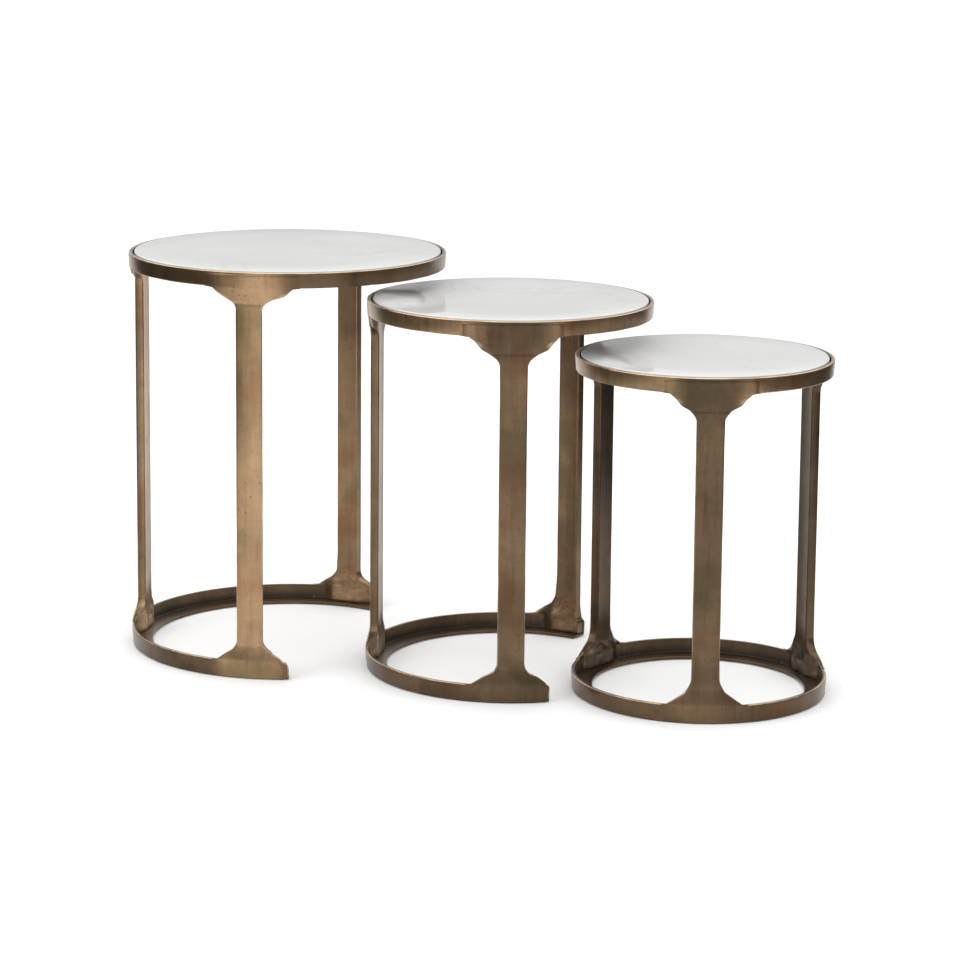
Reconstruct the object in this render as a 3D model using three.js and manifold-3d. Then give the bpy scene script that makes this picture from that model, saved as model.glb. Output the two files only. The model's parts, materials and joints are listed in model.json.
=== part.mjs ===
// Three round nesting tables: marble tops set in cast top rings, each on three
// flat cast legs that flare into the rings.  The large and the medium table
// have a base ring that is open on one side, so the next smaller table slides in.
// Millimetres, +Z up, origin on the floor under the middle of the whole set.
// Angles are in degrees: 0 points to the front (-Y), 90 to the right (+X).
import * as THREE from 'three';
import { mergeVertices } from 'three/addons/utils/BufferGeometryUtils.js';
import Module from 'manifold-3d';

const wasm = await Module();
wasm.setup();

// ---- the three tables -------------------------------------------------------
// narrower and lower: how much a table's radius and height step down from the
// next bigger one.  legs: where each leg stands.  opening: which way the gap in
// the base faces, and its spare width on each side of the next smaller table.
// tuck: how far the table reaches in under the next bigger one as it stands,
// and bearing: in which direction from it.  flare: half the width of a leg's
// flare under the top ring.
const LARGE_DIAMETER = 480;
const LARGE_HEIGHT = 605;
const TABLES = [
  {
    name: 'large',
    narrower: 0,
    lower: 0,
    legs: { front: -11.5, left: -101, rear: 157.5 },
    opening: { faces: 73, spare: 14 },
    flare: 72,
  },
  {
    name: 'medium',
    narrower: 28,
    lower: 49,
    legs: { front: 0, left: -102, rear: 150.5 },
    opening: { faces: 79.5, spare: 3.6 },
    tuck: 88.3,
    bearing: 66.3,
    flare: 75,
  },
  {
    name: 'small',
    narrower: 25,
    lower: 61,
    legs: { front: -2, left: -128.5, rear: 112.5 },
    tuck: 96.3,
    bearing: 65.8,
    flare: 65,
  },
];

// ---- sizes that all three share ---------------------------------------------
const GAP = 0.3;               // air between two pieces that touch
const TOP_RING_WALL = 6;
const BASE_RING_WALL = 6;
const BASE_RING_HEIGHT = 25;
const RING_DRAFT = 1.5;        // how much a ring's outer face leans in going down
const RING_CHAMFER = 1;        // on the rings' outer upper edge
const FLANGE_REACH = 32;       // from a ring's outer face to its flange's inner edge
const FLANGE_THICKNESS = 4;

const MARBLE_THICKNESS = 17;
const MARBLE_PROUD = 1.5;      // how far the marble stands above its ring
const MARBLE_CLEARANCE = 3;    // dark gap between marble and ring
const MARBLE_EASE = 2;         // eased upper edge
const EASE_CORNER = 0.3;       // share of the ease left at the middle of its round
const BUMPER_SPACE = 3.2;      // between the ledge and the marble
const BUMPER_RADIUS = 6;
const BUMPERS = 4;
const FIRST_BUMPER = 45;

const LEG_HALF_WIDTH = 20.5;
const LEG_THICKNESS = 13;
const LEG_INSET = 4.5;         // outer face of a leg inside the rings' outer face
const LEG_DRAFT = 2.5;         // half the width lost on the inner side
const FLARE_HEIGHT = 45;
const FLARE_CURVE = 1.8;       // how hollow the flares are
const FLARE_INSET = 2;         // outer face where the leg meets the top ring
const FOOT_FLARE = 57;         // half the width of the foot on the base ring
const FOOT_FLARE_HEIGHT = 40;
const FOOT_INSET = 1;          // outer face where the leg meets the base ring
const INSET_RUN = 20;          // height over which the outer face leans out to a ring
const FOOT_THICKENING = 2;     // how much further in the foot reaches
const WING_REACH = 30;         // beyond the leg's edge a flare thins over this width
const WING_THICKNESS = 4.5;    // how thick the tips of the flares are

const GLIDE_RADIUS = 9;
const GLIDE_HEIGHT = 1.3;      // lifts the base ring off the floor
const GLIDES = 4;
const FIRST_GLIDE = 45;
const GLIDE_MARGIN = 12;       // degrees from the end of an open base ring to a glide

const RING_STEPS = 72;
const LEG_STEPS_ACROSS = 6;
const FLARE_STEPS = 8;
const DISC_STEPS = 12;

// ---- finishes ---------------------------------------------------------------
const brass = () => new THREE.MeshStandardMaterial({ color: 0x7d6a4e, roughness: 0.45, metalness: 0.9 });
const marble = () => new THREE.MeshStandardMaterial({ color: 0xdedede, roughness: 0.15, metalness: 0 });
const silicone = () => new THREE.MeshStandardMaterial({ color: 0xc9ccce, roughness: 0.5, metalness: 0 });
const felt = () => new THREE.MeshStandardMaterial({ color: 0x4a4038, roughness: 0.95, metalness: 0 });

// ---- helpers ----------------------------------------------------------------
const radians = THREE.MathUtils.degToRad;

// A point at a distance from a table's middle, in the direction of an angle.
function around(reach, angle) {
  return new THREE.Vector2(reach * Math.sin(radians(angle)), -reach * Math.cos(radians(angle)));
}

function solid(geometry) {
  const bare = geometry.clone();
  bare.deleteAttribute('normal');
  bare.deleteAttribute('uv');
  const merged = mergeVertices(bare, 1e-4);
  return new wasm.Manifold(new wasm.Mesh({
    numProp: 3,
    vertProperties: new Float32Array(merged.attributes.position.array),
    triVerts: new Uint32Array(merged.index.array),
  }));
}

function surface(manifold) {
  const mesh = manifold.getMesh();
  const geometry = new THREE.BufferGeometry();
  geometry.setAttribute('position', new THREE.BufferAttribute(new Float32Array(mesh.vertProperties), 3));
  geometry.setIndex(new THREE.BufferAttribute(new Uint32Array(mesh.triVerts), 1));
  geometry.computeVertexNormals();
  return geometry;
}

// A turned body from [radius, height] points, standing on +Z.
function turned(points) {
  const outline = points.map(([radius, height]) => new THREE.Vector2(radius, height));
  return new THREE.LatheGeometry(outline, RING_STEPS).rotateX(Math.PI / 2);
}

function closedTurned(points) {
  return turned([...points, points[0]]);
}

function disc(radius, bottom, top, reach, angle) {
  const height = top - bottom;
  const place = around(reach, angle);
  const geometry = new THREE.CylinderGeometry(radius, radius, height, DISC_STEPS).rotateX(Math.PI / 2);
  return geometry.translate(place.x, place.y, bottom + height / 2);
}

// ---- one table's heights and radii ---------------------------------------------
// The ledge holds the marble on its bumpers, so the top ring's height follows.
function measure(table) {
  const { radius, height } = table;
  const marbleBottom = height - MARBLE_THICKNESS;
  const ledgeTop = marbleBottom - BUMPER_SPACE;
  return {
    radius,
    marbleBottom,
    marbleRadius: radius - TOP_RING_WALL - MARBLE_CLEARANCE,
    ledgeTop,
    ringTop: height - MARBLE_PROUD,
    ringBottom: ledgeTop - FLANGE_THICKNESS,
    baseBottom: GLIDE_HEIGHT,
    flangeTop: GLIDE_HEIGHT + FLANGE_THICKNESS,
    bandTop: GLIDE_HEIGHT + BASE_RING_HEIGHT,
    flangeRadius: radius - FLANGE_REACH,
    flangeMiddle: radius - FLANGE_REACH / 2,
  };
}

// Wall and inward flange in one casting, like an L bent round the table.
function ringProfile(radius, wall, bottom, top, flangeRadius) {
  return [
    [flangeRadius, bottom],
    [radius - RING_DRAFT, bottom],
    [radius, top - RING_CHAMFER],
    [radius - RING_CHAMFER, top],
    [radius - wall, top],
    [radius - wall, bottom + FLANGE_THICKNESS],
    [flangeRadius, bottom + FLANGE_THICKNESS],
  ];
}

// The wedge of space between the two ends of an open base ring.
function gateWedge(table, top) {
  const far = table.radius * 2;
  const { front, rear } = table.gate;
  const corners = [front, (front + rear) / 2, rear].map((angle) => around(far, angle));
  const wedge = new THREE.Shape([new THREE.Vector2(0, 0), ...corners]);
  const geometry = new THREE.ExtrudeGeometry(wedge, { depth: top, bevelEnabled: false });
  return solid(geometry);
}

function topRing(table) {
  const { radius, ringBottom, ringTop, flangeRadius } = measure(table);
  return closedTurned(ringProfile(radius, TOP_RING_WALL, ringBottom, ringTop, flangeRadius));
}

function baseRing(table) {
  const { radius, baseBottom, bandTop, flangeRadius } = measure(table);
  const ring = closedTurned(ringProfile(radius, BASE_RING_WALL, baseBottom, bandTop, flangeRadius));
  return table.gate ? surface(solid(ring).subtract(gateWedge(table, bandTop + GAP))) : ring;
}

function marbleTop(table) {
  const { marbleRadius, marbleBottom } = measure(table);
  return turned([
    [0, marbleBottom],
    [marbleRadius, marbleBottom],
    [marbleRadius, table.height - MARBLE_EASE],
    [marbleRadius - MARBLE_EASE * EASE_CORNER, table.height - MARBLE_EASE * EASE_CORNER],
    [marbleRadius - MARBLE_EASE, table.height],
    [0, table.height],
  ]);
}

// Half the width of a leg and how far its faces stand in, at a height.
function legSection(table, height) {
  const { ringBottom, bandTop } = measure(table);
  const near = (distance, run) => THREE.MathUtils.clamp(1 - distance / run, 0, 1);
  const upper = near(ringBottom - height, FLARE_HEIGHT) ** FLARE_CURVE;
  const lower = near(height - bandTop, FOOT_FLARE_HEIGHT) ** FLARE_CURVE;
  const leanUp = near(ringBottom - height, INSET_RUN);
  const leanDown = near(height - bandTop, INSET_RUN);
  return {
    halfWidth: LEG_HALF_WIDTH
      + (table.flare - LEG_HALF_WIDTH) * upper
      + (FOOT_FLARE - LEG_HALF_WIDTH) * lower,
    outerInset: LEG_INSET - (LEG_INSET - FLARE_INSET) * leanUp - (LEG_INSET - FOOT_INSET) * leanDown,
    innerInset: LEG_INSET + LEG_THICKNESS + FOOT_THICKENING * lower,
  };
}

function legHeights(table) {
  const { ringBottom, bandTop, flangeTop } = measure(table);
  const heights = [flangeTop + GAP];
  for (let step = 0; step <= FLARE_STEPS; step += 1) {
    heights.push(bandTop + (FOOT_FLARE_HEIGHT * step) / FLARE_STEPS);
  }
  for (let step = 0; step <= FLARE_STEPS; step += 1) {
    heights.push(ringBottom - GAP - FLARE_HEIGHT * (1 - step / FLARE_STEPS));
  }
  return heights;
}

// A leg is a flat bar bent to the table's roundness.  It starts as a box and
// each of its points moves to its height, its width and its depth.
function leg(table, angle) {
  const { radius, bandTop } = measure(table);
  const heights = legHeights(table);
  const steps = heights.length - 1;
  const bar = new THREE.BoxGeometry(2, 1, steps, LEG_STEPS_ACROSS, 1, steps);
  const points = bar.attributes.position;
  for (let i = 0; i < points.count; i += 1) {
    const height = heights[Math.round(points.getZ(i) + steps / 2)];
    const depth = points.getY(i) + 0.5;
    const { halfWidth, outerInset, innerInset } = legSection(table, height);
    const across = points.getX(i) * (halfWidth - LEG_DRAFT * depth);
    const wing = THREE.MathUtils.smoothstep(Math.abs(across) - LEG_HALF_WIDTH, 0, WING_REACH);
    const inner = THREE.MathUtils.lerp(innerInset, outerInset + WING_THICKNESS, wing);
    const reach = radius - THREE.MathUtils.lerp(outerInset, inner, depth);
    const place = around(reach, angle + THREE.MathUtils.radToDeg(across / radius));
    points.setXYZ(i, place.x, place.y, height);
  }
  const wall = closedTurned([
    [radius - BASE_RING_WALL - GAP, 0],
    [radius * 1.1, 0],
    [radius * 1.1, bandTop + GAP],
    [radius - BASE_RING_WALL - GAP, bandTop + GAP],
  ]);
  const cut = solid(bar).subtract(solid(wall));
  if (!table.gate) {
    return surface(cut);
  }
  return surface(cut.subtract(gateWedge(table, bandTop + FOOT_FLARE_HEIGHT)));
}

// ---- assembling one table -----------------------------------------------------
function glideAngles(table) {
  if (!table.gate) {
    return Array.from({ length: GLIDES }, (_, i) => FIRST_GLIDE + (360 * i) / GLIDES);
  }
  const first = table.gate.rear + GLIDE_MARGIN;
  const last = table.gate.front + 360 - GLIDE_MARGIN;
  return Array.from({ length: GLIDES }, (_, i) => first + ((last - first) * i) / (GLIDES - 1));
}

function buildTable(table) {
  const group = new THREE.Group();
  const sizes = measure(table);
  const add = (name, geometry, material) => {
    const mesh = new THREE.Mesh(geometry, material);
    mesh.name = `${table.name}_${name}`;
    group.add(mesh);
  };
  add('top_ring', topRing(table), brass());
  add('marble_top', marbleTop(table), marble());
  add('base_ring', baseRing(table), brass());
  for (const [side, angle] of Object.entries(table.legs)) {
    add(`leg_${side}`, leg(table, angle), brass());
  }
  for (let i = 0; i < BUMPERS; i += 1) {
    const angle = FIRST_BUMPER + (360 * i) / BUMPERS;
    const bottom = sizes.ledgeTop + GAP;
    const top = sizes.marbleBottom - GAP;
    add(`marble_bumper_${i + 1}`, disc(BUMPER_RADIUS, bottom, top, sizes.flangeMiddle, angle), silicone());
  }
  glideAngles(table).forEach((angle, i) => {
    const top = sizes.baseBottom - GAP;
    add(`floor_glide_${i + 1}`, disc(GLIDE_RADIUS, 0, top, sizes.flangeMiddle, angle), felt());
  });
  return group;
}

// ---- the set, each table standing beside the next bigger one -----------------
// Each table takes its size from the next bigger one, and each opening is as
// wide as the next smaller table and its spare room.
let bigger = { radius: LARGE_DIAMETER / 2, height: LARGE_HEIGHT, middle: new THREE.Vector2() };
for (const table of TABLES) {
  table.radius = bigger.radius - table.narrower;
  table.height = bigger.height - table.lower;
  table.middle = bigger.middle.clone();
  if (bigger.opening) {
    const { faces, spare } = bigger.opening;
    const halfOpening = THREE.MathUtils.radToDeg(Math.asin((table.radius + spare) / bigger.radius));
    bigger.gate = { front: faces - halfOpening, rear: faces + halfOpening };
    table.middle.add(around(bigger.radius + table.radius - table.tuck, table.bearing));
  }
  bigger = table;
}

const footprint = new THREE.Box2();
for (const { middle, radius } of TABLES) {
  footprint.expandByPoint(middle.clone().addScalar(radius));
  footprint.expandByPoint(middle.clone().subScalar(radius));
}
const centre = footprint.getCenter(new THREE.Vector2());

const object = new THREE.Group();
for (const table of TABLES) {
  const group = buildTable(table);
  group.position.set(table.middle.x - centre.x, table.middle.y - centre.y, 0);
  object.add(group);
}

export default object;
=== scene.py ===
"""Three round nesting tables: marble tops in cast rings, on flat cast legs with an antique brass finish.

Metres, +Z up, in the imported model's frame.  Angles on a table are in degrees: 0 points to
the front (-Y) and 90 to the right (+X).  An inset is a distance in from a table's rim.
"""
import json
import math

import bpy
import numpy as np
from mathutils import Matrix, Vector, noise


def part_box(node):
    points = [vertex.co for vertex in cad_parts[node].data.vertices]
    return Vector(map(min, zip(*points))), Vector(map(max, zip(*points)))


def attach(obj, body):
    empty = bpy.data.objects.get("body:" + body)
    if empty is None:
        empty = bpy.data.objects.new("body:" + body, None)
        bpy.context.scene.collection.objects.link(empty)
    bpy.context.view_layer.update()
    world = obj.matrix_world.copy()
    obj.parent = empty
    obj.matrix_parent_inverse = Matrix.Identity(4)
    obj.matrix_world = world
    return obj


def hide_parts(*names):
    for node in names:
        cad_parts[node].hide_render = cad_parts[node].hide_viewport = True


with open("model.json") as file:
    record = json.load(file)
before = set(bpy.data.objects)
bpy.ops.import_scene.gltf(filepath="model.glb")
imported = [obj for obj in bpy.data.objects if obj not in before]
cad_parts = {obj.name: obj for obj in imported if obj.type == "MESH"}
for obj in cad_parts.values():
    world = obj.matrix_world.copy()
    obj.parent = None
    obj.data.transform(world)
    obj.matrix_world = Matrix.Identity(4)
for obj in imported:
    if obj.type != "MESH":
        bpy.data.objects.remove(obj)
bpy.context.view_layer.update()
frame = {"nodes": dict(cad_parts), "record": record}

MM = 0.001

# ---- sizes of the castings, roughly as the frame has them --------------------------
TOP_WALL = 6 * MM
BASE_WALL = 6 * MM
FLANGE_REACH = 32 * MM
FLANGE_THICKNESS = 4 * MM
RING_DRAFT = 1.5 * MM
LEG_HALF_WIDTH = 20.5 * MM
LEG_INSET = 4.5 * MM
LEG_THICKNESS = 13 * MM
LEG_DRAFT = 2.0 * MM
FLARE_HEIGHT = 45 * MM
FOOT_HEIGHT = 40 * MM
FACE_RUN = 24 * MM             # height over which a leg's face leans out to a ring
FOOT_THICKENING = 2 * MM
WING_REACH = 30 * MM
WING_THICKNESS = 4.6 * MM

# ---- what the hand work adds -------------------------------------------------------
RIM_SETBACK = 0.7 * MM         # the rings' faces stay this far inside the rim
PROUD = 0.55 * MM              # a leg's face stands this far out of the ring it is welded to
WOBBLE = 0.42 * MM             # unevenness of the hand-dressed faces
EDGE_ROUND = 1.5 * MM
LEG_EDGE_ROUND = 2.4 * MM
CUT_ROUND = 1.3 * MM           # edges of an open ring's cut ends
CUT_GAP = 0.3 * MM             # a leg's edge stays this far from an open ring's cut end
WELD_BED = 1 * MM              # how deep a leg's back sits in a ring's wall
WELD_SINK = 0.9 * MM           # how deep a leg's edges sink into a ring's face
LEAST_THICKNESS = 2.2 * MM     # of a leg at its thinnest
GROOVE = 0.35 * MM             # depth of the line across a leg where its face starts to lean out
CROWN = 0.35 * MM              # how far a leg's face falls off towards its edges
DENTS = 0.10 * MM              # in a leg's face
LUMPS = 0.9 * MM               # of weld inside a leg's joints
WAVER = 0.25 * MM              # of a leg's edges
END_TAPER = 0.8 * MM           # how much narrower each side of a leg is at its very ends

STATIONS_ROUND = 360
FACE_POINTS = 25
CORNER_STEPS = 5
ROUND_STEPS = 6                # in the rounded edges of the cut ends and the turned pieces
OUTLINE_STEPS = 8              # in each corner of a flare's or a foot's outline

TABLES = ("large", "medium", "small")


# ---- small helpers -----------------------------------------------------------------
def clamp(value, low=0.0, high=1.0):
    return max(low, min(high, value))


def smooth(value):
    value = clamp(value)
    return value * value * (3 - 2 * value)


def blend(a, b, share):
    return a + (b - a) * share


def rounded(corners, steps=CORNER_STEPS, share=0.49):
    """A closed outline from (x, y, radius) corners, each rounded by an arc that takes no
    more than a share of the straight stretches beside it."""
    points = []
    count = len(corners)
    for i, (x, y, radius) in enumerate(corners):
        here = Vector((x, y))
        if radius <= 0:
            points += [here] * (steps + 1)
            continue
        back = Vector(corners[i - 1][:2]) - here
        ahead = Vector(corners[(i + 1) % count][:2]) - here
        half = back.angle(ahead) / 2
        run = min(radius / math.tan(half), back.length * share, ahead.length * share)
        start, end = here + back.normalized() * run, here + ahead.normalized() * run
        middle = here + (back.normalized() + ahead.normalized()).normalized() * (run / math.cos(half))
        turn = (start - middle).angle_signed(end - middle)
        for step in range(steps + 1):
            arm = (start - middle).copy()
            arm.rotate(Matrix.Rotation(-turn * step / steps, 2))
            points.append(middle + arm)
    return points


def quarter_round():
    """Points on the circle of radius 1 about (1, 1), a quarter round from (1, 0) to (0, 1)."""
    turns = [math.pi / 2 * i / ROUND_STEPS for i in range(ROUND_STEPS + 1)]
    return [(1 - math.sin(turn), 1 - math.cos(turn)) for turn in turns]


def bent_line(corners):
    """An open outline from (x, y, radius) corners: x against y, for reading with np.interp."""
    inner = rounded(corners, OUTLINE_STEPS, 0.8)[OUTLINE_STEPS + 1:-(OUTLINE_STEPS + 1)]
    line = [Vector(corners[0][:2])] + inner + [Vector(corners[-1][:2])]
    line.sort(key=lambda point: point.y)
    return np.array([p.y for p in line]), np.array([p.x for p in line])


def skin(name, sections, wrap, marks):
    """A closed mesh over sections of equally many points.  wrap joins the last one to the first,
    and marks holds the (wear with painted glint, grime with painted shade, patina with painted shade) of
    each point."""
    count = len(sections[0])
    points = [point for section in sections for point in section]
    faces = []
    for i in range(len(sections) if wrap else len(sections) - 1):
        a, b = i * count, (i + 1) % len(sections) * count
        faces += [(a + j, a + (j + 1) % count, b + (j + 1) % count, b + j) for j in range(count)]
    if not wrap:
        faces.append(tuple(reversed(range(count))))
        faces.append(tuple(len(points) - count + j for j in range(count)))
    mesh = bpy.data.meshes.new(name)
    mesh.from_pydata([tuple(point) for point in points], [], faces)
    for mark, values in zip(("wear", "grime", "patina"), zip(*marks)):
        mesh.attributes.new(mark, "FLOAT", "POINT").data.foreach_set("value", values)
    mesh.update()
    mesh.shade_smooth()
    piece = bpy.data.objects.new(name, mesh)
    bpy.context.scene.collection.objects.link(piece)
    face_outward(mesh)
    return piece


def face_outward(mesh):
    """Turns the faces over if the body is inside out."""
    mesh.calc_loop_triangles()
    volume = 0.0
    for triangle in mesh.loop_triangles:
        a, b, c = (mesh.vertices[i].co for i in triangle.vertices)
        volume += a.dot(b.cross(c))
    if volume < 0:
        mesh.flip_normals()


def install(piece, node, body, finish):
    """Gives a piece its finish and puts it in a node's place on its table."""
    piece.data.materials.append(finish)
    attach(piece, body)
    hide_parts(node)


# ---- reading one table from the frame ------------------------------------------------
LEAST_GATE = 30                # degrees without a corner that make a base ring an open one


class Table:
    """Sizes and places of one table, all taken from the frame."""

    def __init__(self, name):
        self.name = name
        self.body = name + "_table"
        low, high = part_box(name + "_top_ring")
        self.middle = (low + high) / 2
        self.radius = (high.x - low.x) / 2
        self.ring_bottom, self.ring_top = low.z, high.z
        low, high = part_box(name + "_base_ring")
        self.base_bottom, self.band_top = low.z, high.z
        self.flange_top = low.z + FLANGE_THICKNESS
        low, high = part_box(name + "_marble_top")
        self.marble_radius = (high.x - low.x) / 2
        self.marble_bottom, self.marble_top = low.z, high.z
        self.legs = {leg: self.leg_angle(f"{name}_leg_{leg}") for leg in self.leg_names()}
        self.gate = self.find_gate()

    def at(self, inset, angle, height):
        """The point at an inset from the rim, an angle and a height."""
        reach, turn = self.radius - inset, math.radians(angle)
        x, y = self.middle.x + reach * math.sin(turn), self.middle.y - reach * math.cos(turn)
        return Vector((x, y, height))

    def angles(self, node, low=-1.0, high=1e9):
        """The angles of a node's corners between two heights."""
        found = []
        for vertex in frame["nodes"][node].data.vertices:
            if low <= vertex.co.z <= high:
                away = vertex.co - self.middle
                found.append(math.degrees(math.atan2(away.x, -away.y)))
        return sorted(found)

    def leg_names(self):
        """The names of the table's legs, such as front."""
        start = self.name + "_leg_"
        return [node[len(start):] for node in sorted(frame["nodes"]) if node.startswith(start)]

    def leg_angle(self, node):
        """The angle of a leg's middle line, between its foot and its flare."""
        slim = self.angles(node, self.band_top + FOOT_HEIGHT - MM, self.ring_bottom - FLARE_HEIGHT + MM)
        start = slim[0]
        spread = [(angle - start + 180) % 360 - 180 for angle in slim]
        return start + (min(spread) + max(spread)) / 2

    def find_gate(self):
        """The open stretch of the base ring as (first, last) angle, or None."""
        found = self.angles(self.name + "_base_ring")
        gaps = [((b - a), a, b) for a, b in zip(found, found[1:] + [found[0] + 360])]
        width, first, last = max(gaps)
        return (first, last) if width > LEAST_GATE else None

    def along(self, degrees):
        """The length round the rim of an angle."""
        return math.radians(degrees) * self.radius


def unevenness(table, angle, height, seed, size=0.045):
    """Slow waves of a hand-dressed face, from -1 to 1."""
    place = table.at(0, angle, height) / size
    return clamp(noise.noise(place + Vector((seed, seed * 0.7, 0))) * 1.6, -1, 1)


# ---- shader maths ---------------------------------------------------------------------
class Value:
    """A socket in a finish.  Sums and products of values add the Math nodes for them."""

    def __init__(self, finish, socket):
        self.finish, self.socket = finish, socket

    def maths(self, operation, first, second):
        return self.finish.node("ShaderNodeMath", {"operation": operation}, {0: first, 1: second})

    def __add__(self, other):
        return self.maths("ADD", self, other)

    def __radd__(self, other):
        return self.maths("ADD", other, self)

    def __sub__(self, other):
        return self.maths("SUBTRACT", self, other)

    def __rsub__(self, other):
        return self.maths("SUBTRACT", other, self)

    def __mul__(self, other):
        return self.maths("MULTIPLY", self, other)

    def __rmul__(self, other):
        return self.maths("MULTIPLY", other, self)

    def rise(self, low, high):
        """0 below low, 1 above high and smooth between."""
        ends = {"From Min": low, "From Max": high, "Value": self}
        return self.finish.node("ShaderNodeMapRange", {"interpolation_type": "SMOOTHSTEP"}, ends)


class Finish:
    """A material and its node tree."""

    def __init__(self, name):
        self.material = bpy.data.materials.new(name)
        self.material.use_nodes = True
        self.tree = self.material.node_tree
        self.tree.nodes.clear()
        self.place = self.node("ShaderNodeTexCoord", output="Object")

    def node(self, kind, settings=None, inputs=None, output=0):
        made = self.tree.nodes.new(kind)
        for name, setting in (settings or {}).items():
            if name == "stops":
                ramp = made.color_ramp
                while len(ramp.elements) < len(setting):
                    ramp.elements.new(0.5)
                for element, (position, colour) in zip(ramp.elements, setting):
                    element.position, element.color = position, (*colour, 1)
            else:
                setattr(made, name, setting)
        for name, given in (inputs or {}).items():
            if isinstance(given, Value):
                self.tree.links.new(given.socket, made.inputs[name])
            elif isinstance(given, tuple) and made.inputs[name].type == "RGBA":
                made.inputs[name].default_value = (*given, 1)
            else:
                made.inputs[name].default_value = given
        return Value(self, made.outputs[output])

    def noise(self, scale, detail, roughness, place=None, output="Fac"):
        inputs = {"Vector": place or self.place, "Scale": scale, "Detail": detail, "Roughness": roughness}
        return self.node("ShaderNodeTexNoise", None, inputs, output)

    def stretched(self, stretch, turn=0.0):
        """The place, scaled by a number for each axis."""
        settings = {"Vector": self.place, "Scale": stretch, "Rotation": (0, 0, turn)}
        return self.node("ShaderNodeMapping", None, settings)

    def shifted(self, offset):
        return self.node("ShaderNodeVectorMath", {"operation": "ADD"}, {0: self.place, 1: offset})

    def mixed(self, share, first, second, way="MIX"):
        settings = {"data_type": "RGBA", "blend_type": way}
        return self.node("ShaderNodeMix", settings, {0: share, 6: first, 7: second}, output=2)

    def ramp(self, share, stops):
        return self.node("ShaderNodeValToRGB", {"stops": stops}, {"Fac": share}, "Color")

    def mark(self, name):
        """A value that the piece's own mesh carries."""
        return self.node("ShaderNodeAttribute", {"attribute_name": name}, output="Fac")

    def bump(self, height, strength, distance):
        inputs = {"Height": height, "Strength": strength, "Distance": distance}
        return self.node("ShaderNodeBump", None, inputs)

    def finished(self, **inputs):
        named = {name.replace("_", " ").title().replace("Ior", "IOR"): v for name, v in inputs.items()}
        shader = self.node("ShaderNodeBsdfPrincipled", None, named)
        out = self.tree.nodes.new("ShaderNodeOutputMaterial")
        self.tree.links.new(shader.socket, out.inputs["Surface"])
        return self.material


# ---- finishes ---------------------------------------------------------------------------
GOLDEN = (0.46, 0.30, 0.165)
TAN = (0.30, 0.19, 0.105)
UMBER = (0.155, 0.095, 0.052)
OLIVE = (0.16, 0.135, 0.062)
RUST = (0.27, 0.125, 0.058)
SOOT_AND_SHADE = (0.035, 0.026, 0.020)
BRIGHT = (0.80, 0.62, 0.40)
PATINA_AND_SHADE_TINT = (0.155, 0.16, 0.175)    # what full patina and painted shade multiply the colour by


def antique_brass(name, age, offset):
    """Cast brass, dressed by hand and darkened.  age runs from 0, golden, to 1, dark brown."""
    f = Finish(name)
    place = f.shifted(offset)
    clouds = f.noise(7.5, 4, 0.6, place)
    blotches = f.noise(26, 4, 0.6, place)
    speckle = f.noise(170, 3, 0.65, place)
    grain = f.noise(900, 2, 0.6, place)
    drag = f.noise(1.0, 4, 0.6, f.stretched((150, 150, 9)))

    # the metal's own colour, with green and red in patches
    tone = clouds * 0.52 + blotches * 0.20 + drag * 0.28
    shift = blend(0.0, 0.13, age)
    colour = f.ramp(tone, [(0.30 + shift, UMBER), (0.43 + shift, TAN), (0.60 + shift, GOLDEN)])
    olive = f.noise(11, 3, 0.5, f.shifted((offset[0] + 4, 2, 7))).rise(0.52, 0.66)
    colour = f.mixed(olive * 0.50, colour, OLIVE)
    rust = f.noise(13, 3, 0.5, f.shifted((3, offset[0] + 9, 1))).rise(0.53, 0.68)
    colour = f.mixed(rust * 0.50, colour, RUST)
    dusk = (speckle.rise(0.5, 0.75) * 0.28 + drag.rise(0.5, 0.72) * 0.18) * blend(0.8, 1.15, age)
    colour = f.mixed(dusk, colour, UMBER)

    # what smoke, dirt and rubbing did to it, with painted shade and painted highlights mixed in
    patina = (f.mark("patina") + (blotches - 0.5) * 0.25).rise(-0.05, 1.05)
    colour = f.mixed(patina * 0.88, colour, PATINA_AND_SHADE_TINT, "MULTIPLY")
    # grime and painted shade: dark in the corners inside the rings and at the legs' joints
    grime = f.mark("grime")
    colour = f.mixed((grime * (0.55 + blotches * 0.7)).rise(0.1, 1.0) * 0.88, colour, SOOT_AND_SHADE)
    # wear, plus painted highlights near the flares' corners
    wear = f.mark("wear")
    rubbed_and_glint = (wear * (0.35 + blotches * 1.2)).rise(0.25, 0.95)
    colour = f.mixed(rubbed_and_glint * 0.75, colour, BRIGHT)

    # casting pits
    cells = f.node("ShaderNodeTexVoronoi", {"feature": "F1"}, {"Vector": place, "Scale": 95}, "Distance")
    pits = (1 - cells.rise(0.05, 0.16)) * f.noise(19, 2, 0.5, place).rise(0.52, 0.60)
    colour = f.mixed(pits * 0.7, colour, SOOT_AND_SHADE)
    height = blotches * 0.55 + speckle * 0.30 + drag * 0.12 + grain * 0.08 - pits * 0.5
    rough = 0.20 + speckle * 0.10 + blotches * 0.12 + grime * 0.25 - rubbed_and_glint * 0.05
    return f.finished(
        base_color=colour,
        metallic=0.96 - grime * 0.3,
        roughness=rough,
        coat_weight=0.12 - rubbed_and_glint * 0.08,
        coat_roughness=0.22,
        normal=f.bump(height, 0.55, 0.55 * MM),
    )


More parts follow.
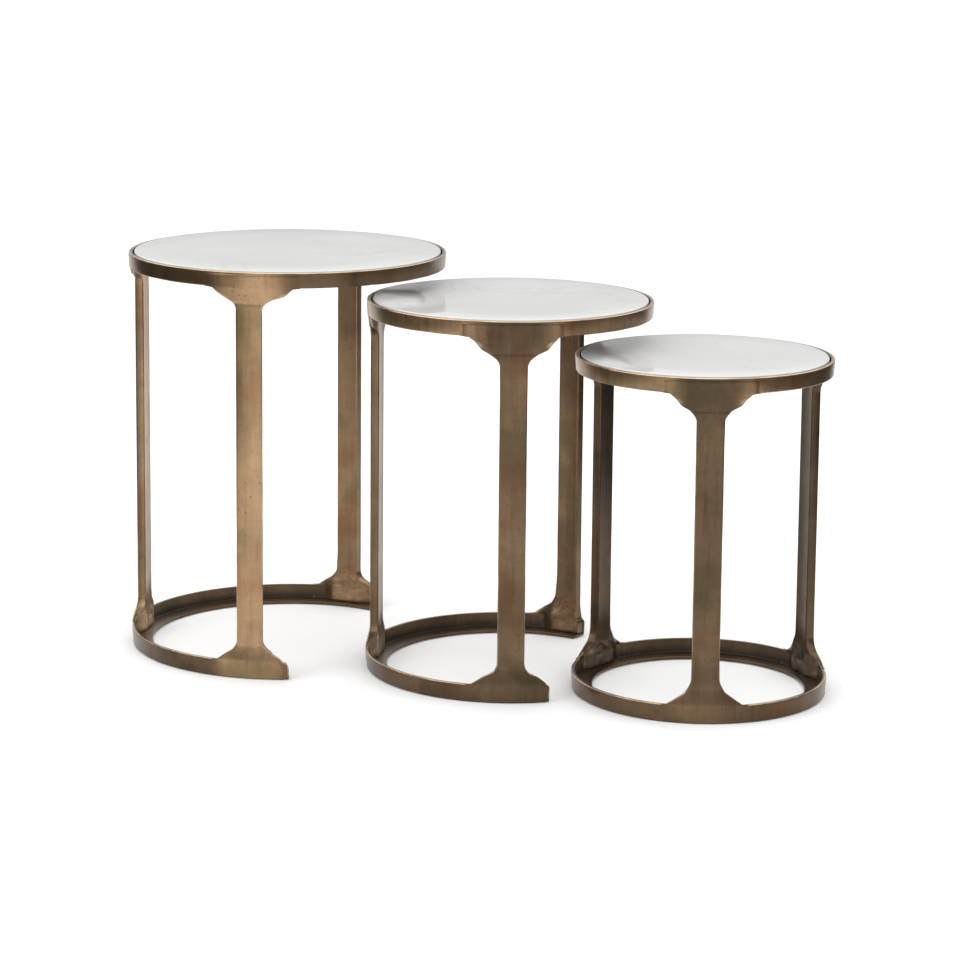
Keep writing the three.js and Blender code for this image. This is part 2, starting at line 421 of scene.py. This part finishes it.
def polished_marble(name, offset):
    """Nearly plain white marble with faint grey clouds and a few hair veins."""
    f = Finish(name)
    place = f.shifted(offset)
    warp = f.noise(5, 4, 0.6, place, "Color")
    bend = {0: warp, 1: (0.22, 0.22, 0.22), 2: place}
    twisted = f.node("ShaderNodeVectorMath", {"operation": "MULTIPLY_ADD"}, bend)
    cells = {"Vector": twisted, "Scale": 5.5}
    edges = f.node("ShaderNodeTexVoronoi", {"feature": "DISTANCE_TO_EDGE"}, cells, "Distance")
    veins = (1 - edges.rise(0.0, 0.045)) * f.noise(6, 2, 0.5, place).rise(0.47, 0.68)
    clouds = f.noise(4.5, 5, 0.55, twisted)
    crystals = f.noise(420, 2, 0.6, place)
    colour = f.mixed(clouds.rise(0.35, 0.75), (0.58, 0.575, 0.565), (0.52, 0.52, 0.515))
    colour = f.mixed(veins * 0.35, colour, (0.40, 0.395, 0.39))
    colour = f.mixed(crystals.rise(0.45, 0.8) * 0.10, colour, (0.74, 0.74, 0.735))
    return f.finished(
        base_color=colour,
        roughness=0.05 + clouds * 0.05 + veins * 0.06,
        normal=f.bump(crystals * 0.2 + veins * -0.4, 0.12, 0.1 * MM),
        ior=1.52,
    )


def clear_silicone(name):
    f = Finish(name)
    haze = f.noise(120, 3, 0.6)
    dust = f.noise(1500, 2, 0.6)
    return f.finished(
        base_color=f.mixed(haze.rise(0.3, 0.7), (0.60, 0.62, 0.63), (0.45, 0.46, 0.46)),
        roughness=0.38 + dust * 0.2,
        normal=f.bump(dust, 0.2, 0.1 * MM),
    )


def brown_felt(name):
    f = Finish(name)
    tufts = f.noise(700, 4, 0.7)
    fibres = f.noise(1.0, 3, 0.7, f.stretched((2600, 900, 2600), 0.7))
    dark, pale = (0.028, 0.020, 0.015), (0.10, 0.075, 0.055)
    return f.finished(
        base_color=f.ramp(tufts * 0.6 + fibres * 0.4, [(0.3, dark), (0.7, pale)]),
        roughness=0.88 + fibres * 0.1,
        sheen_weight=0.5,
        normal=f.bump(fibres * 0.6 + tufts, 0.6, 0.3 * MM),
    )


def pale_floor(name):
    f = Finish(name)
    scuffs = f.noise(3, 4, 0.5)
    return f.finished(
        base_color=f.mixed(scuffs, (0.88, 0.88, 0.88), (0.85, 0.85, 0.85)),
        roughness=0.75 + scuffs * 0.1,
        normal=f.bump(f.noise(300, 2, 0.5), 0.05, 0.1 * MM),
    )


# How dark the patina and painted shade are, from 0 to 1: on the outer faces of a table's top ring, base
# ring and legs and towards their left, on its flares and feet, on the inside of its rings, legs and
# feet, and on the legs' sides.  Only part of it is patina: the values towards the left paint how the light
# and shade fall on that side, and the values for the insides and the legs' sides paint the shade there.
PATINA_AND_SHADE = {
    "large": {
        "top": 0.84, "top_left": 0.48, "base": 0.84, "base_left": 1.0,
        "flare": 0.08, "foot": 0.0, "leg": 0.0, "leg_left": 0.42,
        "ring_inside": 0.75, "leg_inside": 0.34, "foot_inside": 0.0, "side": 0.78,
    },
    "medium": {
        "top": 0.42, "top_left": 0.05, "base": 0.78, "base_left": 0.84,
        "flare": 0.86, "foot": 0.85, "leg": 0.71, "leg_left": 0.62,
        "ring_inside": 0.80, "leg_inside": 0.58, "foot_inside": 0.5, "side": 0.74,
    },
    "small": {
        "top": 0.22, "top_left": 0.16, "base": 0.76, "base_left": 0.80,
        "flare": 0.97, "foot": 0.68, "leg": 0.78, "leg_left": 0.85,
        "ring_inside": 0.78, "leg_inside": 1.0, "foot_inside": 0.95, "side": 1.0,
    },
}


JOINT_HALF = 26 * MM           # how far a joint's own patina reaches from the leg's middle
JOINT_FADE = 44 * MM           # and the length over which it fades out


def face_patina_and_shade(table, angle, height):
    """Patina and painted light and shade of the outer faces at a place, the same for a ring and for the leg
    welded to it.
    """
    dark = PATINA_AND_SHADE[table.name]
    upper = height > (table.ring_bottom + table.band_top) / 2
    ring_name, joint = ("top", dark["flare"]) if upper else ("base", dark["foot"])
    # painted light and shade: faces towards the left get their own values, for how the light falls there
    to_left = smooth(-math.sin(math.radians(angle)))
    ring = blend(dark[ring_name], dark[ring_name + "_left"], to_left)
    ways = [abs((angle - leg + 180) % 360 - 180) for leg in table.legs.values()]
    by_leg = smooth(1 - (table.along(min(ways)) - JOINT_HALF) / JOINT_FADE)
    near_ring = 1 - (table.ring_bottom - height) / FLARE_HEIGHT
    near_base = 1 - (height - table.band_top) / FOOT_HEIGHT
    plain = blend(dark["leg"], dark["leg_left"], to_left)
    return blend(plain, blend(ring, joint, by_leg), smooth(max(near_ring, near_base) * 1.3))


# ---- rings ------------------------------------------------------------------------------
CREST_CLEARANCE = 0.4 * MM     # the wall's top stays this far under the leg's rounded end
LEAST_WALL = 3 * MM            # of the wall's height above the flange, at the cut ends


def ring_face(height, bottom, top):
    """Inset of a ring's outer face at a height: it leans in going down."""
    return RIM_SETBACK + RING_DRAFT * clamp((top - height) / (top - bottom))


def ring_section(bottom, top, wall, shrink=0.0, crest=0.0):
    """The L of a wall and its flange as (inset, height) points.  shrink pulls it in on all
    sides, and crest lowers the wall's top."""
    def turn(radius, hollow=False):
        return max(radius + (shrink if hollow else -shrink), 0.05 * MM)
    s, high = shrink, top - crest
    return rounded([
        (FLANGE_REACH - s, bottom + s, turn(1.2 * MM)),
        (RING_DRAFT + RIM_SETBACK + s, bottom + s, turn(EDGE_ROUND)),
        (RIM_SETBACK + s, high - s, turn(EDGE_ROUND)),
        (RIM_SETBACK + wall - s, high - s, turn(1.1 * MM)),
        (RIM_SETBACK + wall - s, bottom + FLANGE_THICKNESS - s, turn(2.2 * MM, True)),
        (FLANGE_REACH - s, bottom + FLANGE_THICKNESS - s, turn(1.0 * MM)),
    ])


def ring_marks(table, angle, section, bottom, top, wall):
    """Wear, grime with painted shade, and patina with painted shade of a ring's section: rubbed on
    the two rounded edges of the rim and along its foot, with grime and painted shade in the corner inside."""
    dark, marks = PATINA_AND_SHADE[table.name], []
    for inset, height in section:
        near_rim = smooth(1 - inset / (wall + 1 * MM))
        rim = smooth(1 - (top - height) / (2.0 * MM)) * near_rim
        hem = 0.55 * smooth(1 - (height - bottom) / (2.0 * MM)) * smooth(1 - inset / (5 * MM))
        grime = 0.0
        # grime and painted shade in the corner inside, by the flange
        if inset > wall:
            deep = smooth(1 - (height - bottom - FLANGE_THICKNESS) / (14 * MM))
            grime = deep * smooth(1 - (inset - wall) / (16 * MM))
        # painted shade: the ring's inner faces take the inside value
        inside = smooth((inset - wall + 0.6 * MM) / MM)
        patina = blend(face_patina_and_shade(table, angle, height), dark["ring_inside"], inside)
        marks.append((max(rim, hem), grime, patina))
    return marks


def open_stations(table):
    """(angle, pull) from one cut end of an open ring to the other.  pull draws the section in
    on all sides, and goes along a quarter round at both ends."""
    start, end = table.gate[1], table.gate[0] + 360
    last = [(math.degrees(CUT_ROUND * x / table.radius), CUT_ROUND * y) for x, y in quarter_round()]
    first = [(start + turn, pull) for turn, pull in reversed(last)]
    last = [(end - turn, pull) for turn, pull in last]
    between = [(start + (end - start) * i / STATIONS_ROUND, 0.0) for i in range(1, STATIONS_ROUND)]
    return first + between + last


def crest_drop(table, angle, most):
    """How far an open ring's wall is cut down at an angle, where its ends round to the floor."""
    drop = 0.0
    for end, side in ((table.gate[1], -1), (table.gate[0] + 360, 1)):
        away = max(table.along((end - angle) * side), 0)
        drop = max(drop, -cut_height(table, side, away))
    return clamp(drop + CREST_CLEARANCE, 0, most) if drop > 0 else 0.0


def cast_ring(table, kind):
    """A whole or an open ring.  An open ring's wall rounds down to the floor at both ends."""
    top_ring = kind == "top_ring"
    if top_ring:
        bottom, top, wall, seed = table.ring_bottom, table.ring_top, TOP_WALL, table.radius * 100 + 3
    else:
        bottom, top, wall, seed = table.base_bottom, table.band_top, BASE_WALL, table.radius * 100 + 11
    is_open = bool(table.gate) and not top_ring
    if is_open:
        stations = open_stations(table)
    else:
        stations = [(360 * i / STATIONS_ROUND, 0.0) for i in range(STATIONS_ROUND)]
    sections, marks = [], []
    for angle, pull in stations:
        most = top - bottom - FLANGE_THICKNESS - LEAST_WALL
        crest = crest_drop(table, angle, most) if is_open else 0.0
        section = ring_section(bottom, top, wall, pull, crest)
        marks += ring_marks(table, angle, section, bottom, top - crest, wall)
        points = []
        for inset, height in section:
            wave = unevenness(table, angle, height * 0.5, seed)
            hem = unevenness(table, angle, 0, seed + 5, 0.03)
            up = WOBBLE * hem * smooth(1 - (height - bottom) / (6 * MM)) if top_ring else 0.0
            points.append(table.at(inset + WOBBLE * 0.5 * (1 + wave), angle, height + 0.8 * max(up, 0.0)))
        sections.append(points)
    return skin(f"{table.name}_{kind}_casting", sections, not is_open, marks)


# ---- legs -------------------------------------------------------------------------------
# Outline corners of the flares and feet, as (half width, distance from the ring, rounding)
# in millimetres, for the left (-1) and the right (1) edge.  Each was dressed by hand.
FLARES = {
    "large": {
        -1: [(70, 0, 0), (59, 0.6, 5), (46, 11, 6), (33, 18, 10), (20.5, 25, 14), (20.5, 64, 0)],
        1: [(78, 0, 0), (67, 0.6, 5), (53, 13, 5), (37, 17, 10), (20.5, 26, 15), (20.5, 62, 0)],
    },
    "medium": {
        -1: [
            (80, 0, 0), (68, 0.6, 6), (58, 7, 9), (48, 19, 9),
            (36, 25.5, 9), (20.8, 36, 18), (20.5, 72, 0),
        ],
        1: [
            (78, 0, 0), (67, 0.6, 6), (58, 10, 8), (50, 19.5, 7),
            (36, 25.5, 9), (20.8, 36, 18), (20.5, 66, 0),
        ],
    },
    "small": {
        -1: [(72, 0, 0), (60, 0.6, 6), (50, 9, 9), (43, 18, 9), (31, 24, 9), (20.8, 35, 16), (20.5, 72, 0)],
        1: [(74, 0, 0), (62, 0.6, 6), (51, 9, 9), (45, 17, 7), (31, 24, 9), (20.8, 35, 16), (20.5, 66, 0)],
    },
}
FEET = {
    "large": {
        -1: [(60, 0, 0), (52, 0.4, 4), (40, 9, 6), (20.5, 21, 20), (20.5, 58, 0)],
        1: [(52, 0, 0), (47, 5.5, 8), (37, 13, 4), (20.5, 20, 20), (20.5, 58, 0)],
    },
    "medium": {
        -1: [(68, 0, 0), (60, 0.4, 3), (42, 12, 6), (21, 21, 18), (20.5, 56, 0)],
        1: [(58, 0, 0), (54, 1.5, 3), (41, 12, 4), (20.5, 20, 18), (20.5, 56, 0)],
    },
    "small": {
        -1: [(64, 0, 0), (57, 0.4, 2), (31, 17, 4), (21, 31, 26), (20.5, 64, 0)],
        1: [(64, 0, 0), (55, 0.4, 2), (29, 19, 4), (21, 33, 26), (20.5, 64, 0)],
    },
}
# Rear feet that run out wider on the side away from the opening.
REAR_FEET = {
    "large": {1: [(66, 0, 0), (56, 0.4, 5), (33, 16, 10), (22.5, 26, 14), (20.5, 54, 0)]},
    "medium": {1: [(70, 0, 0), (61, 0.4, 5), (42, 14, 8), (31, 21, 9), (23.5, 33, 14), (20.5, 66, 0)]},
    "small": {},
}
# The cut ends of the open base rings round down to the floor: (radius, how far the round
# starts above the band) at the front and at the rear.
CUT_ENDS = {
    "large": ((24 * MM, 10 * MM), (13 * MM, 2 * MM)),
    "medium": ((5 * MM, 0.5 * MM), (6 * MM, 0.5 * MM)),
}


def cut_back(table, side, above):
    """How far the rounded cut end stands back from the gate, at a height above the band."""
    radius, start = CUT_ENDS[table.name][0 if side > 0 else 1]
    drop = clamp(above - start + radius, 0, radius)
    return radius - math.sqrt(radius ** 2 - drop ** 2)


def cut_height(table, side, away):
    """How high the rounded cut end stands above the band, at a distance from the gate."""
    radius, start = CUT_ENDS[table.name][0 if side > 0 else 1]
    return start - radius + math.sqrt(radius ** 2 - clamp(radius - away, 0, radius) ** 2)


def edge_reader(corners):
    heights, widths = bent_line([(w * MM, h * MM, r * MM) for w, h, r in corners])
    return lambda height: float(np.interp(height, heights, widths))


def leg_stations(table):
    """Heights for the leg's sections: close together where it flares, and in the rings."""
    fine, coarse = 1.4 * MM, 9 * MM
    base, low, high = table.base_bottom, table.band_top, table.ring_bottom
    spans = [
        (base + 0.9 * MM, low, 2.0 * MM),
        (low, low + FOOT_HEIGHT, fine),
        (low + FOOT_HEIGHT, high - FLARE_HEIGHT, coarse),
        (high - FLARE_HEIGHT, high, fine),
        (high, table.ring_top - 1.2 * MM, 1.6 * MM),
    ]
    heights = []
    for start, end, step in spans:
        count = max(1, round((end - start) / step))
        heights += [start + (end - start) * i / count for i in range(count)]
    return heights + [spans[-1][1]]


SIDES = (-1, 1)
NEAR_GATE = 200 * MM           # a leg this near to the opening ends its foot at the cut end


class Leg:
    """One leg of a table: its edges' outlines, and the room beside it up to an open ring's cut
    end.  A side is -1 for the leg's left edge and 1 for its right edge."""

    def __init__(self, table, name):
        self.table = table
        self.middle = table.legs[name]
        self.seed = self.middle * 0.37 + table.radius * 50
        feet = {**FEET[table.name], **(REAR_FEET[table.name] if name == "rear" else {})}
        self.flare = {side: edge_reader(FLARES[table.name][side]) for side in SIDES}
        self.foot = {side: edge_reader(feet[side]) for side in SIDES}
        self.room = {}
        if table.gate:
            for side, end in ((1, table.gate[0]), (-1, table.gate[1])):
                room = table.along((end - self.middle) * side % 360)
                if room < NEAR_GATE:
                    self.room[side] = room

    def half_width(self, side, height):
        """The width on one side of the middle line, at a height."""
        above, below = height - self.table.band_top, self.table.ring_bottom - height
        wide = self.foot[side](max(above, 0)) if above < below else self.flare[side](max(below, 0))
        if side in self.room and above < FOOT_HEIGHT:
            limit = self.room[side] - cut_back(self.table, side, above)
            wide = limit if above < 0 else min(wide, max(limit, LEG_HALF_WIDTH))
        sway = WAVER * noise.noise(Vector((height * 30, self.seed, side * 7.0)))
        return wide + sway - CUT_GAP * (side in self.room)


class LegSection:
    """A leg at one height: its outer and inner face, as insets from the table's rim, at any
    place across it.  A place is a length from the middle line, and negative to the left.
    grown runs from 0 at the very ends of the leg to 1 a few sections on."""

    def __init__(self, leg, height, grown):
        table = leg.table
        self.leg, self.height, self.grown = leg, height, grown
        self.above, self.below = height - table.band_top, table.ring_bottom - height
        self.lower = clamp(1 - max(self.above, 0) / FOOT_HEIGHT)
        self.joint = max(self.lower, clamp(1 - max(self.below, 0) / FLARE_HEIGHT))
        settle = clamp(1 - max(self.above, 0) / FACE_RUN)
        self.settle = (smooth(settle) + settle) / 2
        self.lean = clamp(1 - max(self.below, 0) / FACE_RUN) ** 1.15
        self.face, self.back = self.face_inset(), self.back_inset()
        self.wide = {side: leg.half_width(side, height) - (1 - grown) * END_TAPER for side in SIDES}

    def face_inset(self):
        """Of the face's middle: it leans out to each ring and ends a little proud of it."""
        table = self.leg.table
        ring = ring_face(self.height, table.ring_bottom, table.ring_top) - PROUD
        band = ring_face(self.height, table.base_bottom, table.band_top) - PROUD
        groove = GROOVE * math.exp(-((self.below - FACE_RUN) / (2.2 * MM)) ** 2)
        return blend(blend(LEG_INSET + groove, ring, self.lean), band, self.settle)

    def back_inset(self):
        """Of the back's middle: thicker at the foot, and bedded in the rings' walls."""
        into_ring = smooth((-self.below - 0.4 * MM) / (3 * MM))
        into_flange = smooth((self.leg.table.flange_top - self.height - 0.4 * MM) / (2.6 * MM))
        back = LEG_INSET + LEG_THICKNESS + FOOT_THICKENING * self.lower ** 1.8
        back = blend(back, RIM_SETBACK + TOP_WALL - WELD_BED, into_ring)
        return blend(back, RIM_SETBACK + BASE_WALL - WELD_BED, into_flange)

    def outer(self, place):
        """The outer face.  In a ring it sinks at its edges, as a weld ground flush does."""
        side = 1 if place > 0 else -1
        sink = 0.0
        if self.below < 0 or (self.above < 0 and side not in self.leg.room):
            rim = clamp((self.wide[side] - abs(place)) / (9 * MM))
            sink = (1 - smooth(rim)) * (PROUD + WELD_SINK)
        cap = (1 - self.grown) * (PROUD + 0.7 * MM)
        level = max(self.lean, self.settle)
        crown = CROWN * min(abs(place) / LEG_HALF_WIDTH, 1) ** 2 * (1 - level)
        dents = noise.noise(Vector((place * 40, self.height * 22, self.leg.seed)))
        return self.face + sink + cap + crown + DENTS * dents * (1 - level * 0.6)

    def inner(self, place):
        """The inner face: thinner out on the wings, and lumpy with weld at the joints."""
        z, seed = self.height, self.leg.seed
        lumps = noise.noise(Vector((place * 90, z * 90, seed + 4)))
        lumps += 0.6 * noise.noise(Vector((place * 260, z * 260, seed)))
        rough = LUMPS * lumps * self.joint ** 0.6
        wing = smooth((abs(place) - LEG_HALF_WIDTH) / WING_REACH)
        thin = blend(self.back, self.outer(place) + WING_THICKNESS, wing)
        return max(thin + rough, self.outer(place) + LEAST_THICKNESS)

    def corner(self, side, draft, face):
        """(place, inset, edge) round one corner.  face is self.outer or self.inner, and edge
        is 1 in the middle of the round."""
        tip = side * (self.wide[side] - draft)
        radius = min(LEG_EDGE_ROUND, (self.inner(tip) - self.outer(tip)) * 0.42)
        points = []
        for i in range(CORNER_STEPS + 1):
            a = math.pi / 2 * i / CORNER_STEPS
            if face == self.outer:
                across, down = 1 - math.sin(a), math.cos(a) - 1
            else:
                across, down = 1 - math.cos(a), 1 - math.sin(a)
            points.append((tip - side * radius * across, face(tip) - radius * down, math.sin(2 * a)))
        return points

    def outline(self):
        """(place, inset, edge) once round: the face, the right side, the back, the left side."""
        near_left, near_right = (self.corner(side, 0, self.outer) for side in SIDES)
        far_left, far_right = (self.corner(side, LEG_DRAFT, self.inner) for side in SIDES)
        shares = [i / FACE_POINTS for i in range(1, FACE_POINTS)]
        front = [blend(near_left[0][0], near_right[0][0], share) for share in shares]
        rear = [blend(far_right[-1][0], far_left[-1][0], share) for share in shares]
        face = [(place, self.outer(place), 0) for place in front]
        back = [(place, self.inner(place), 0) for place in rear]
        return face + near_right + far_right + back + far_left[::-1] + near_left[::-1]

    def mark(self, place, inset, edge):
        """Wear with painted glints, grime with painted shade, and patina with painted light and shade at a
        point of the outline.
        """
        leg, z = self.leg, self.height
        dark = PATINA_AND_SHADE[leg.table.name]
        footing = smooth(self.lower * 1.6)
        # inner faces: painted shade, darker towards the ring's wall, with grime and painted shade at the
        # joints
        if inset > self.face + 5 * MM:
            brushed = 0.5 + 0.5 * noise.noise(Vector((place * 70, z * 110, leg.seed)))
            to_wall = self.joint * smooth((abs(place) - LEG_HALF_WIDTH + 4 * MM) / WING_REACH)
            patina = blend(dark["leg_inside"], dark["foot_inside"], footing)
            patina = blend(patina, dark["ring_inside"], to_wall * 0.7)
            return 0.62 * footing * brushed, 0.3 * self.joint ** 0.7, patina
        from_edge = self.wide[1 if place > 0 else -1] - abs(place)
        # painted highlight: a glint near the flare's corners, where a catch-light would be
        at_flare = smooth(1 - abs(self.below - 11 * MM) / (13 * MM))
        glint = smooth(1 - (from_edge - 4 * MM) / (13 * MM)) * at_flare
        # painted shade: the leg's sides take the side value
        flank = smooth((inset - self.face - 1.2 * MM) / (1.5 * MM))
        turn = leg.middle + math.degrees(place / leg.table.radius)
        patina = blend(face_patina_and_shade(leg.table, turn, z), dark["side"], flank)
        return max(edge * blend(0.6, 1.0, self.joint), 0.55 * glint), 0.0, patina


def cast_leg(table, name):
    """A flat bar bent to the table's roundness.  Its face runs on over both rings."""
    leg = Leg(table, name)
    heights = leg_stations(table)
    sections, marks = [], []
    for index, height in enumerate(heights):
        grown = smooth(min(index, len(heights) - 1 - index) / 3)
        section = LegSection(leg, height, grown)
        outline = section.outline()
        marks += [section.mark(*point) for point in outline]
        turns = [leg.middle + math.degrees(place / table.radius) for place, _, _ in outline]
        sections.append([table.at(inset, turn, height) for turn, (_, inset, _) in zip(turns, outline)])
    return skin(f"{table.name}_leg_{name}_casting", sections, False, marks)


# ---- turned pieces ------------------------------------------------------------------------
def turned(name, outline, x, y, steps=48):
    """A solid of revolution from (radius, height) points that start and end on its axis."""
    rim = outline[1:-1]
    points = [Vector((x, y, outline[0][1])), Vector((x, y, outline[-1][1]))]
    faces = []
    for i in range(steps):
        turn = 2 * math.pi * i / steps
        points += [Vector((x + r * math.cos(turn), y + r * math.sin(turn), z)) for r, z in rim]
        a, b = 2 + i * len(rim), 2 + (i + 1) % steps * len(rim)
        faces += [(0, b, a), (1, a + len(rim) - 1, b + len(rim) - 1)]
        faces += [(a + j, b + j, b + j + 1, a + j + 1) for j in range(len(rim) - 1)]
    mesh = bpy.data.meshes.new(name)
    mesh.from_pydata([tuple(p) for p in points], [], faces)
    mesh.shade_smooth()
    piece = bpy.data.objects.new(name, mesh)
    bpy.context.scene.collection.objects.link(piece)
    face_outward(mesh)
    return piece


def round_slab(radius, bottom, top, lower_round, upper_round, rings=1):
    """Outline of a disc with rounded edges, with extra rings over its faces."""
    flat = [radius * 0.985 * i / (rings + 1) for i in range(1, rings + 1)]
    lower = [(radius - lower_round * x, bottom + lower_round * y) for x, y in quarter_round()]
    upper = [(radius - upper_round * y, top - upper_round * x) for x, y in quarter_round()]
    start = [(0, bottom)] + [(r, bottom) for r in flat]
    return start + lower + upper + [(r, top) for r in reversed(flat)] + [(0, top)]


def marble_top(table):
    """The marble disc, with its upper edge eased and its lower edge just broken."""
    radius, bottom, top = table.marble_radius - 0.1 * MM, table.marble_bottom, table.marble_top
    outline = round_slab(radius, bottom, top, 0.8 * MM, 2.2 * MM, 3)
    return turned(f"{table.name}_marble_disc", outline, table.middle.x, table.middle.y, 256)


def small_disc(node, name, rounding):
    """A pad with rounded edges, as big as its node in the frame."""
    low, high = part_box(node)
    middle, radius = (low + high) / 2, (high.x - low.x) / 2
    return turned(name, round_slab(radius, low.z, high.z, rounding, rounding), middle.x, middle.y)


# ---- building ------------------------------------------------------------------------------
# How far each table's brass has darkened, from 0 to 1.  The rings are a little fresher.
AGES = {"large": 0.0, "medium": 0.3, "small": 0.3}
RING_SHARE = 0.9


def build_table(name):
    table = Table(name)
    offset = (3.1 * TABLES.index(name), 1.7, 0.4 * TABLES.index(name))
    ring_finish = antique_brass(f"{name}_ring_brass", AGES[name] * RING_SHARE, offset)
    leg_finish = antique_brass(f"{name}_leg_brass", AGES[name], offset)
    for kind in ("top_ring", "base_ring"):
        ring = cast_ring(table, kind)
        install(ring, f"{name}_{kind}", table.body, ring_finish)
    for leg_name in table.legs:
        leg = cast_leg(table, leg_name)
        install(leg, f"{name}_leg_{leg_name}", table.body, leg_finish)
    stone = polished_marble(f"{name}_polished_marble", offset)
    install(marble_top(table), f"{name}_marble_top", table.body, stone)
    rubber, felt = clear_silicone(f"{name}_clear_silicone"), brown_felt(f"{name}_brown_felt")
    for node in sorted(frame["record"]["behaviour"]["bodies"][table.body]):
        if "marble_bumper" in node:
            install(small_disc(node, node + "_pad", 0.6 * MM), node, table.body, rubber)
        if "floor_glide" in node:
            install(small_disc(node, node + "_pad", 0.3 * MM), node, table.body, felt)


# ---- floor, light and camera ----------------------------------------------------------------
def stage_card(name, corners, finish):
    """A flat card of the studio, which isn't part of the tables."""
    mesh = bpy.data.meshes.new(name)
    mesh.from_pydata(corners, [], [(0, 1, 2, 3)])
    mesh.materials.append(finish)
    card = bpy.data.objects.new(name, mesh)
    bpy.context.scene.collection.objects.link(card)
    return card


def lay_floor():
    reach = 40.0
    corners = [(-reach, -reach, 0), (reach, -reach, 0), (reach, reach, 0), (-reach, reach, 0)]
    stage_card("floor", corners, pale_floor("pale_floor"))


def softbox(name, place, aim, size, power, colour=(1, 1, 1)):
    """A rectangular lamp that faces the point it is aimed at."""
    lamp = bpy.data.lights.new(name, "AREA")
    lamp.shape = "RECTANGLE"
    lamp.size, lamp.size_y = size
    lamp.energy = power
    lamp.color = colour
    holder = bpy.data.objects.new(name, lamp)
    bpy.context.scene.collection.objects.link(holder)
    holder.location = place
    holder.rotation_mode = "QUATERNION"
    holder.rotation_quaternion = (Vector(aim) - Vector(place)).to_track_quat("-Z", "Y")


def dark_cloth(name):
    """The finish of the cards that darken reflections."""
    f = Finish(name)
    weave = f.noise(200, 2, 0.5)
    return f.finished(base_color=f.mixed(weave, (0.03, 0.03, 0.03), (0.05, 0.05, 0.05)), roughness=0.9)


def flag(name, x):
    """A dark card beside the set that only shows in reflections."""
    front, back, low, high = -1.6, 1.1, 0.01, 0.95
    corners = [(x, front, low), (x, back, low), (x, back, high), (x, front, high)]
    card = stage_card(name, corners, dark_cloth(name))
    card.visible_camera = card.visible_diffuse = card.visible_shadow = False


def hang_sky():
    """A white sky, dim at the horizon and bright above."""
    world = bpy.data.worlds.new("studio")
    world.use_nodes = True
    tree = world.node_tree
    backdrop = tree.nodes["Background"]
    backdrop.inputs["Color"].default_value = (1, 1, 1, 1)
    way = tree.nodes.new("ShaderNodeTexCoord")
    split = tree.nodes.new("ShaderNodeSeparateXYZ")
    fade = tree.nodes.new("ShaderNodeMapRange")
    fade.interpolation_type = "SMOOTHSTEP"
    tree.links.new(way.outputs["Generated"], split.inputs[0])
    tree.links.new(split.outputs["Z"], fade.inputs["Value"])
    tree.links.new(fade.outputs["Result"], backdrop.inputs["Strength"])
    for name, value in (("From Min", 0.12), ("From Max", 0.55), ("To Min", 0.55), ("To Max", 1.45)):
        fade.inputs[name].default_value = value
    bpy.context.scene.world = world


def light_studio():
    hang_sky()
    flag("left_flag", -1.25)
    flag("right_flag", 1.25)
    softbox("overhead", (0.2, -0.3, 3.4), (0, 0, 0.2), (3.0, 3.0), 18)
    softbox("left", (-3.0, -1.6, 1.5), (0, 0, 0.35), (1.6, 2.2), 34, (1.0, 0.98, 0.95))
    softbox("right", (3.2, -1.2, 1.2), (0, 0, 0.35), (1.2, 2.0), 8)


def place_camera():
    """A long lens at the front, looking a little down and to the right."""
    lens = bpy.data.cameras.new("camera")
    lens.lens = 117.9
    lens.sensor_width = 36
    lens.shift_y = -0.15
    lens.clip_end = 200
    pitch, yaw, roll = (math.radians(angle) for angle in (9.59, 1.06, 0.53))
    level = math.cos(pitch)
    forward = Vector((math.sin(yaw) * level, math.cos(yaw) * level, -math.sin(pitch)))
    side = Vector((math.cos(yaw), -math.sin(yaw), 0))
    above = side.cross(forward)
    right = side * math.cos(roll) + above * math.sin(roll)
    up = above * math.cos(roll) - side * math.sin(roll)
    camera = bpy.data.objects.new("camera", lens)
    bpy.context.scene.collection.objects.link(camera)
    turn = Matrix((right, up, -forward)).transposed().to_4x4()
    camera.matrix_world = Matrix.Translation((-0.074, -4.597, 1.269)) @ turn
    bpy.context.scene.camera = camera


place_camera()
light_studio()
lay_floor()
for table_name in TABLES:
    build_table(table_name)
bpy.context.scene.view_settings.view_transform = "Standard"
